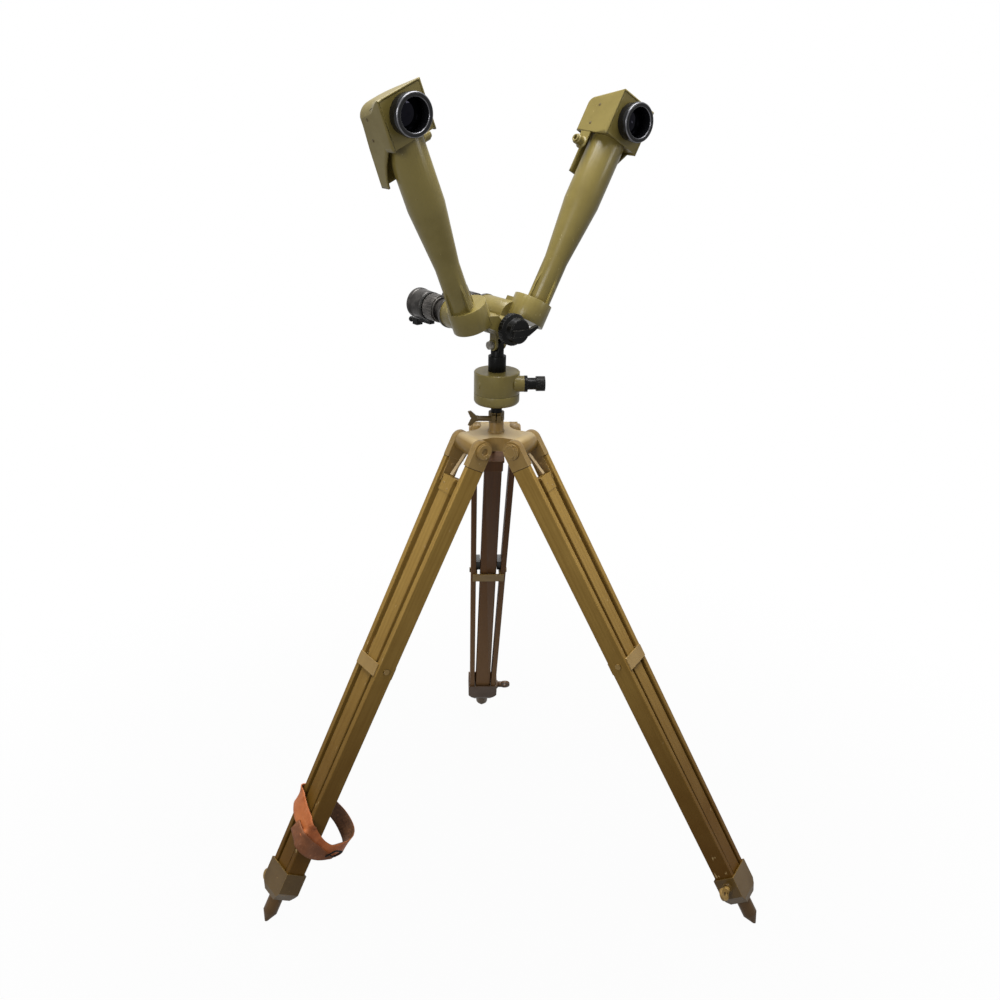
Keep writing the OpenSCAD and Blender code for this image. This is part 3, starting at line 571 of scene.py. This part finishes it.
# Strap buckle: a bent wire frame with its prong, blackened steel, where the billet leaves the
# band for the free loop.
def black_metal(name, face, worn, gloss, shine=0.12):
    """Baked black enamel: dust speckles it, edges rub through to grey, fine ripple in the gloss."""
    finish, place = new_finish(name)
    cloud = noise(place, 42, 4.0, 0.6)
    dust = noise(place, 420, 1.0).ease(0.66, 0.74) * cloud.ease(0.4, 0.6)
    rim = edges(place, 0.0009) * noise(place, 120, 2.0).ease(0.32, 0.6)
    surface(place, {
        "Base Color": mixed((rim * 0.8 + dust * 0.2).at_most(1), tint(face), tint(worn)),
        "Roughness": cloud * 0.18 + dust * 0.2 + (gloss - 0.09),
        "Specular IOR Level": shine,
        "Normal": rough_skin(noise(place, 700, 2.0), 0.14, 0.0004)})
    return finish


def wire_ring(line, radius):
    """Round wire carried along a closed line: each ring stands across the line's own direction."""
    ahead = np.roll(line, -1, 0) - np.roll(line, 1, 0)
    ahead /= np.linalg.norm(ahead, axis=1, keepdims=True)
    side = np.cross(ahead, [0.02, 1.0, 0.03])
    side /= np.linalg.norm(side, axis=1, keepdims=True)
    over = np.cross(ahead, side)
    angle = whole_turn(12)[:, None]
    return line[:, None] + radius * (side[:, None] * np.cos(angle) + over[:, None] * np.sin(angle))


blackened = black_metal("blackened buckle", "1b1a18", "6a655c", 0.4)
frame_wire, prong_wire, corner_round = 1.5, 1.2, 3
half_long, half_high = 6.5, 12
buckle_x, buckle_y, buckle_z = -55, 42.4, 6
corner = np.radians(np.arange(0, 91, 18))
quarter = np.stack([np.cos(corner), np.sin(corner)], -1) * corner_round + (half_long, half_high)
flat_line = np.vstack([quarter, quarter[::-1] * (-1, 1), -quarter, quarter[::-1] * (1, -1)])
tilt = np.radians(18)
frame_line = (flat_line[:, [0, 0, 1]] * (np.cos(tilt), np.sin(tilt), 1)
              + (buckle_x, buckle_y, buckle_z))
prong_half, prong_out, prong_lean, prong_bow = 7, 2.1, 1.5, 1.2
along = np.linspace(1, -1, 12)
bowed = buckle_y + prong_out + prong_lean * along + prong_bow * np.cos(along * np.pi / 2)
prong = np.stack([buckle_x + prong_half * along, bowed, np.full(12, float(buckle_z))], -1)
angle = whole_turn(10)
prong_rings = prong[:, None] + prong_wire * np.stack([0 * angle, np.cos(angle), np.sin(angle)], -1)
bent_frame = tube_form(on_strap(wire_ring(frame_line, frame_wire)), ends=False)
buckle = piece("strap_wire_buckle", [bent_frame, tube_form(on_strap(prong_rings))], blackened,
               "left_leg", 60)
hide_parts("strap_buckle")
outer_face, inward = on_strap([(24, 0, 0), (-1, 0, 0)])
for soft in (band, tongue, buckle):
    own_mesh(soft)


# Stem and post: turned steel in satin black. The stem plugs into the head, the post turns in
# the drive and ends in the tongue of the tilt joint.
satin_black = black_metal("satin black steel", "0d0d0c", "6b6862", 0.34)
dress(satin_black, "stem post", 0.0006)


# Azimuth drive: a drum in two halves round a worm and its wheel, cast and sprayed khaki olive,
# as all of the instrument above it is.
olive = enamel("khaki olive enamel", "877941", "72642f", "b8ac79", 0.34, 0.73, 0.6)
dress(olive, "drive_cover drive_housing", 0.0010)


# Worm and wheel: hardened steel on brass, hidden in the drum and still bright with oil.
def dull_steel(name, face, deep):
    """Unpainted steel that has dulled: fine drawn lines, darker patches, and brighter edges."""
    finish, place = new_finish(name)
    patch = noise(place, 60, 4.0, 0.65).ease(0.38, 0.68)
    line = noise(place.node("Mapping", {}, {"Vector": place, "Scale": (9, 9, 90)}), 45, 2.0)
    surface(place, {
        "Base Color": mixed(edges(place, 0.001) * 0.4, mixed(patch, tint(face), tint(deep)),
                            tint("cfc8b8")),
        "Metallic": 0.75 - patch * 0.35,
        "Roughness": patch * 0.2 + line * 0.12 + 0.32,
        "Normal": rough_skin(line + patch, 0.12, 0.0003)})
    return finish


def oiled_brass(name):
    """Cut brass: warm metal with darker patches of oil and faint turning marks."""
    finish, place = new_finish(name)
    patch = noise(place, 90, 3.0).ease(0.4, 0.65)
    surface(place, {
        "Base Color": mixed(patch, tint("b8965a"), tint("8a6a35")),
        "Metallic": 1.0 - patch * 0.1,
        "Roughness": patch * 0.25 + 0.22,
        "Normal": rough_skin(noise(place, 800, 2.0), 0.08, 0.0002)})
    return finish


dress(oiled_brass("oiled brass"), "worm_wheel", 0.0002)
steel = dull_steel("dull steel", "a39f95", "76716a")
dress(steel, "worm_shaft", 0.0003)


# Knobs: moulded black compound on steel, polished by hands on the ribs. The small one drives
# the worm, the large one clamps both arms on their spindle.
knob_black = black_metal("moulded black", "0b0b0a", "77746e", 0.28, 0.16)
dress(knob_black, "azimuth_knob", 0.0005)
dress(knob_black, "hinge_knob", 0.0007)


# Tilt joint and hinge: a forked block in the same khaki olive, a steel pin with a ribbed nut,
# and the steel spindle that both arms swing on.
dress(olive, "hinge_block", 0.0008)
dress(steel, "tilt_pin hinge_spindle", 0.0004)


# Arms: each is a cast elbow with its prism barrel, and a drawn tube that widens towards its head
# and is steadied at the foot by four ribs. All khaki olive.
dress(olive, "left_elbow right_elbow", 0.0013)
dress(olive, "left_tube right_tube", 0.0009)


# Heads: a prism box at the top of each tube. A sheet cover is pressed over its top, back and
# sides: sharp at the front, softly rounded over its outer side, with tails down by the tube.
ARM = {"left": (-1, 22.5), "right": (1, 30.3)}  # side, and degrees from upright
HINGE_UP, SIGHT_AXIS, HEAD_MIDDLE = 1007, 400, 58  # above the floor, up the arm, outward
HEAD_FRONT, HEAD_BACK, HEAD_TOP = -36, 37, 438
COVER_HALF, COVER_STEP = 41, 358  # half its width, and the height at which its inner side stops
TAIL_FOOT, TAIL_EDGE = 294, -18  # its lowest point, and its inner edge from the head's middle
BOX_HALF, BOX_FOOT = 37.7, 360.2
CREST_ROWS, BEND_ROWS, BACK_ROWS, TAIL_ROWS = 16, 12, 14, 10  # of points down the outline
WALL_COLUMNS, FOLD_COLUMNS, EDGE_COLUMNS = 8, 9, 3  # of points across it, from the inner side


def on_arm(arm, points):
    """Points of an arm's own frame in mm (outward from the hinge, along the sight line, up the
    arm) put in the object's: leaned by the arm's swing, mirrored for the left arm."""
    side, swing = ARM[arm][0], np.radians(ARM[arm][1])
    out, along, up = np.moveaxis(np.asarray(points, float), -1, 0)
    return np.stack([side * (out * np.cos(swing) + up * np.sin(swing)), along,
                     HINGE_UP - out * np.sin(swing) + up * np.cos(swing)], -1) / 1000


def head_outline(inset, low):
    """Side outline of the head moved in by inset, as places (along, up) and outward normals:
    a top falling 16 degrees to the back, a round of radius 14 less inset, a straight back."""
    fall = np.radians(16)
    radius, back, front_up = 14 - inset, HEAD_BACK - inset, HEAD_TOP - inset
    centre = back - radius
    length = centre + radius * np.sin(fall) - HEAD_FRONT
    sink = length * np.tan(fall)
    centre_up = front_up - sink - radius * np.cos(fall)
    run = np.linspace(0, 1, CREST_ROWS)[:, None]
    crest = (HEAD_FRONT, front_up) + run * (length, -sink)
    angle = np.linspace(np.pi / 2 - fall, 0, BEND_ROWS + 1)[1:]
    round_way = np.stack([np.cos(angle), np.sin(angle)], -1)
    bend = (centre, centre_up) + radius * round_way
    step = COVER_STEP if low < COVER_STEP else (centre_up + low) / 2
    falling = np.concatenate([np.linspace(centre_up, step, BACK_ROWS + 1)[1:],
                              np.linspace(step, low, TAIL_ROWS + 1)[1:]])
    drop = np.stack([np.full(len(falling), float(back)), falling], -1)
    normal = np.vstack([np.tile([np.sin(fall), np.cos(fall)], (CREST_ROWS, 1)), round_way,
                        np.tile([1.0, 0.0], (len(falling), 1))])
    normal[0] = (0, 1)
    return np.vstack([crest, bend, drop]), normal


def wrap_across(outline, normal, half, outer, inner, crown):
    """The outline carried across the head. Over both edges each row bends down by its own
    radius: the depth is the radius less its cosine part, the place its sine part. The inner edge
    turns a full quarter, the outer one 62 degrees, which leaves a crease at the side. Between
    them the sheet rises by a crown that falls off as the square of the way from the middle."""
    turn = np.radians(np.linspace(90, 0, FOLD_COLUMNS))
    bow = np.radians(np.linspace(0, 62, FOLD_COLUMNS))
    left = -(half - inner[:, None]) - inner[:, None] * np.sin(turn)
    right = half - outer[:, None] * (np.sin(bow[-1]) - np.sin(bow))
    split = np.full(len(outline), float(TAIL_EDGE))
    middle = np.hstack([np.linspace(left[:, -1], split, EDGE_COLUMNS + 1, axis=1)[:, 1:],
                        np.linspace(split, right[:, 0], 9, axis=1)[:, 1:-1]])
    place = np.hstack([left, middle, right])
    depth = np.hstack([inner[:, None] * (1 - np.cos(turn)), np.zeros(middle.shape),
                       outer[:, None] * (1 - np.cos(bow))])
    depth = depth - crown[:, None] * (1 - (place / half) ** 2)
    spot = outline[:, None] - normal[:, None] * depth[..., None]
    return np.concatenate([HEAD_MIDDLE + place[..., None], spot], -1)


def way_round(outline):
    """How far each row is from the front: 0 there, 1 at the end of the round, more on the back."""
    return np.arange(len(outline)) / (CREST_ROWS + BEND_ROWS - 1)


def fold_radius(way):
    """Radius of the outer fold on each row: small at the sharp front, swelling as a smooth step
    to its full size halfway along the top, then shrinking again down the back."""
    small, large = 1.6, 26
    swell = np.clip(way * 3.2, 0, 1)
    return small + (large - small) * swell ** 2 * (3 - 2 * swell) * np.clip(2.1 - way, 0.2, 1)


def cover_form(arm):
    """The cover as one open sheet: the wrap's rows with a ruled wall added at each end, between
    the wrap's last column and the wall's free edge, whose knots are (row, along, up). The outer
    wall's edge runs down the front and along the tail. The inner wall and the sheet beside it
    stop level with the head's foot."""
    outline, normal = head_outline(0, TAIL_FOOT)
    way, rows = way_round(outline), np.arange(len(outline))
    crown = 2.6 * np.sin(np.pi * np.clip(way, 0, 1)) ** 2
    wrap = wrap_across(outline, normal, COVER_HALF, fold_radius(way),
                       1.6 + 2.4 * np.clip(way * 2, 0, 1), crown)
    front = [(0, HEAD_FRONT, HEAD_TOP), (15, HEAD_FRONT, COVER_STEP)]
    inner_edge = front + [(27, -30, COVER_STEP), (33, -24, COVER_STEP), (38, -18, COVER_STEP)]
    outer_edge = front + [(27, -17, COVER_STEP), (33, -8, 345), (38, 1, 332), (43, 8, 318),
                          (48, 13, 306), (51, 15, TAIL_FOOT)]
    rule = np.linspace(0, 1, WALL_COLUMNS, endpoint=False)[:, None]
    sides = []
    for end, knots in ((0, inner_edge), (-1, outer_edge)):
        row, along, up = np.transpose(knots)
        edge = wrap[:, end]
        rim = np.stack([edge[:, 0], np.interp(rows, row, along), np.interp(rows, row, up)], -1)
        rim[0] = edge[0]
        rim[:, 2] = np.minimum(rim[:, 2], edge[:, 2])
        sides.append(rim[:, None] * (1 - rule) + edge[:, None] * rule)
    sheet = np.concatenate([sides[0], wrap, sides[1][:, ::-1]], 1)
    kept = np.ones((sheet.shape[0] - 1, sheet.shape[1] - 1), bool)
    step_row = CREST_ROWS + BEND_ROWS + BACK_ROWS - 1
    tail_column = WALL_COLUMNS + FOLD_COLUMNS + EDGE_COLUMNS - 1
    kept[step_row:, :tail_column] = False
    faces = np.array(grid_faces(*sheet.shape[:2]))[kept.ravel()]
    used, spots = np.unique(faces, return_inverse=True)
    return on_arm(arm, sheet.reshape(-1, 3)[used]), spots.reshape(-1, 4).tolist()


def box_forms(arm):
    """The prism box as a closed loft across the head: at each station the outline, pulled in
    near both sides by the edge radius, is closed along the bottom. Before it stands a frame: its
    rings run round the window's circle, and round the box's rectangle, where each point lies as
    far out as the nearer of the upright and the level side lets it."""
    outline, normal = head_outline(3.3, BOX_FOOT)
    way = way_round(outline)
    outer = np.maximum(fold_radius(way) - 1.2, 0.8)
    wrap = wrap_across(outline, normal, BOX_HALF, outer, 0.8 + 0.4 * way, 0 * way)
    frame_back, window, broken = -29, 27.2, 0.6
    wrap[0, :, 1] = frame_back - 0.5
    foot = wrap[0] * (1, 1, 0) + (0, 0, BOX_FOOT)
    loft = np.moveaxis(np.concatenate([wrap, foot[None]], 0), 0, 1)
    over, under = 34.4, SIGHT_AXIS - BOX_FOOT
    corner = np.arctan2([over, over, -under, -under], [BOX_HALF, -BOX_HALF, -BOX_HALF, BOX_HALF])
    angle = np.sort(np.concatenate([whole_turn(72) - np.pi + 0.01, corner]))
    cosine, sine = np.cos(angle), np.sin(angle)
    tall = np.where(sine > 0, over, under)
    reach = np.minimum(BOX_HALF / np.maximum(np.abs(cosine), 1e-6),
                       tall / np.maximum(np.abs(sine), 1e-6))
    rings = [(window, HEAD_FRONT), (window, frame_back), (reach, frame_back),
             (reach, HEAD_FRONT + broken), (reach - broken, HEAD_FRONT)]
    frame_form = np.array([np.stack([HEAD_MIDDLE + cosine * size, np.full(len(angle), along),
                                     SIGHT_AXIS + sine * size], -1) for size, along in rings])
    return [tube_form(on_arm(arm, loft)), tube_form(on_arm(arm, frame_form), ends=False)]


for arm in ("left", "right"):
    box = piece(arm + "_prism_box", box_forms(arm), olive, arm + "_arm", 30)
    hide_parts(arm + "_head")
    cover = piece(arm + "_sheet_cover", [cover_form(arm)], olive, arm + "_arm",
                  24)
    thick = cover.modifiers.new("sheet", "SOLIDIFY")
    thick.thickness, thick.offset, thick.use_even_offset = 0.003, -1, True
    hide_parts(arm + "_head_cover")


# Cover fixings: domed screws on both sides of each head, each with a thin dark ring round it,
# and on the inner side a tab whose hollow stud takes the sunshade's pin.
def slab(outline, low, high):
    """Rings of a plate that lies across the head, from low to high: its outline drawn in at both
    faces and full just between them, for a broken edge."""
    broken = 0.4
    way = outline.mean(0) - outline
    near = outline + way / np.linalg.norm(way, axis=1)[:, None] * broken
    rings = [(near, low), (outline, low + broken), (outline, high - broken), (near, high)]
    return np.array([np.insert(edge, 0, across, axis=1) for edge, across in rings])


# A thin dark disc is laid round the foot of each screw.
screw_ring_finish = black_metal("dark screw ring", "3b3424", "6a6040", 0.6, 0.2)
screw = rivet_head(1.7, 0.9)
screw_ring_form = turned([(2.5, -0.5), (2.5, 0.06), (1.2, 0.08)], 24)
screw_spots = [((HEAD_MIDDLE + side * COVER_HALF, along, up), side)
               for side in (1, -1) for along, up in ((6, 406), (10, 373))]
stud_along, stud_up, tab_half, tab_top = 12, 338, 11, 364
stud = turned([(3.2, 7.0), (3.6, 6.6), (3.6, 1.5), (4.2, 1.0), (6.0, 1.0), (6.5, 1.5),
               (6.5, 4.4), (8.0, 4.6), (8.5, 5.1), (8.5, 15.6), (9.4, 16.6), (10.4, 17.5)], 40)
angle = np.radians(np.linspace(180, 360, 15))
tab_round = np.stack([np.cos(angle), np.sin(angle)], -1) * tab_half + (stud_along, stud_up)
tab = np.vstack([tab_round, [(stud_along + tab_half, tab_top), (stud_along - tab_half, tab_top)]])
for arm in ("left", "right"):
    domes, rings = ([tube_form(on_arm(arm, stood(form, foot, 0, side)))
                     for foot, side in screw_spots] for form in (screw, screw_ring_form))
    studs = [tube_form(on_arm(arm, slab(tab, 17.3, 19.7))),
             tube_form(on_arm(arm, stood(stud, (0, stud_along, stud_up), 0)))]
    piece(arm + "_cover_screws", domes, umber, arm + "_arm", 50)
    piece(arm + "_screw_ring", rings, screw_ring_finish, arm + "_arm", 50)
    piece(arm + "_sunshade_stud", studs, olive, arm + "_arm", 40)


# Hoods: turned and blackened rings screwed in front of the objectives, with a rolled lip that
# has been polished grey by its cap.
def polished_hood(name):
    """Black enamel, with bare steel on both roundings of the lip: 56 to 57.5 mm ahead of the
    hinge the colour turns grey and metallic, more in some places than in others."""
    finish, place = new_finish(name)
    front = place.node("SeparateXYZ", {}, {"Vector": place}, out="Y") * -1
    rub = noise(place, 45, 2.0).ease(0.30, 0.62) * 0.4 + 0.6
    lip = front.ease(0.0558, 0.0568) * (1 - front.ease(0.0574, 0.0579)) * rub
    cloud = noise(place, 40, 4.0, 0.6)
    surface(place, {
        "Base Color": mixed(lip, tint("121214"), tint("86868a")),
        "Metallic": lip * 0.85,
        "Roughness": cloud * 0.14 + 0.16 + lip * 0.04,
        "Specular IOR Level": 0.30,
        "Normal": rough_skin(noise(place, 400, 2.0), 0.06, 0.0002)})
    return finish


dress(polished_hood("polished hood"), "left_hood right_hood", 0.0006)


# Optics: coated objective and eye lens of each arm. The tube behind them is dark, so they look
# near black with a cold, slightly purple gloss.
def coated_glass(name):
    """Dark lens: a black depth under a mirror smooth face, bloomed so that it shines little."""
    finish, place = new_finish(name)
    dust = noise(place, 380, 3.0, 0.7).ease(0.58, 0.8)
    surface(place, {
        "Base Color": mixed(dust * 0.3, tint("06070a"), tint("2b2b2d")),
        "Roughness": dust * 0.25 + 0.03,
        "Specular IOR Level": 0.14,
        "Specular Tint": (0.72, 0.70, 1.0, 1.0),
        "Normal": rough_skin(dust, 0.02, 0.0002)})
    return finish


dress(coated_glass("coated glass"), "left_optics right_optics", 0.0002)


# Eyepieces: turned light alloy, anodised grey black and worn silver on the ribs and rims. The
# ribbed ring focuses, the flared cup guards the eye.
def worn_anodising(name, face, deep, bright, gloss):
    """Anodised alloy: turning lines round the sight axis, dull patches, silver where it rubs."""
    finish, place = new_finish(name)
    lines = noise(place.node("Mapping", {}, {"Vector": place, "Scale": (0.05, 1, 0.05)}), 900, 2.0)
    patch = noise(place, 55, 4.0, 0.62).ease(0.36, 0.66)
    rim = edges(place, 0.0011) * noise(place, 110, 2.0).ease(0.3, 0.58)
    surface(place, {
        "Base Color": mixed((rim * 0.7).at_most(1), mixed(patch, tint(face), tint(deep)),
                            tint(bright)),
        "Metallic": 0.55 + rim * 0.4,
        "Roughness": patch * 0.14 + lines * 0.12 + (gloss - 0.12),
        "Normal": rough_skin(lines, 0.10, 0.0003)})
    return finish


dress(worn_anodising("worn anodising", "5e5a56", "322f2d", "c9c4bb", 0.34),
      "left_eyepiece right_eyepiece left_focus_ring right_focus_ring", 0.0005)
dress(worn_anodising("eyecup anodising", "4f4c49", "2a2826", "b3aea6", 0.32),
      "left_eyecup right_eyecup", 0.0006)
dress(knob_black, "filter_lever", 0.0006)
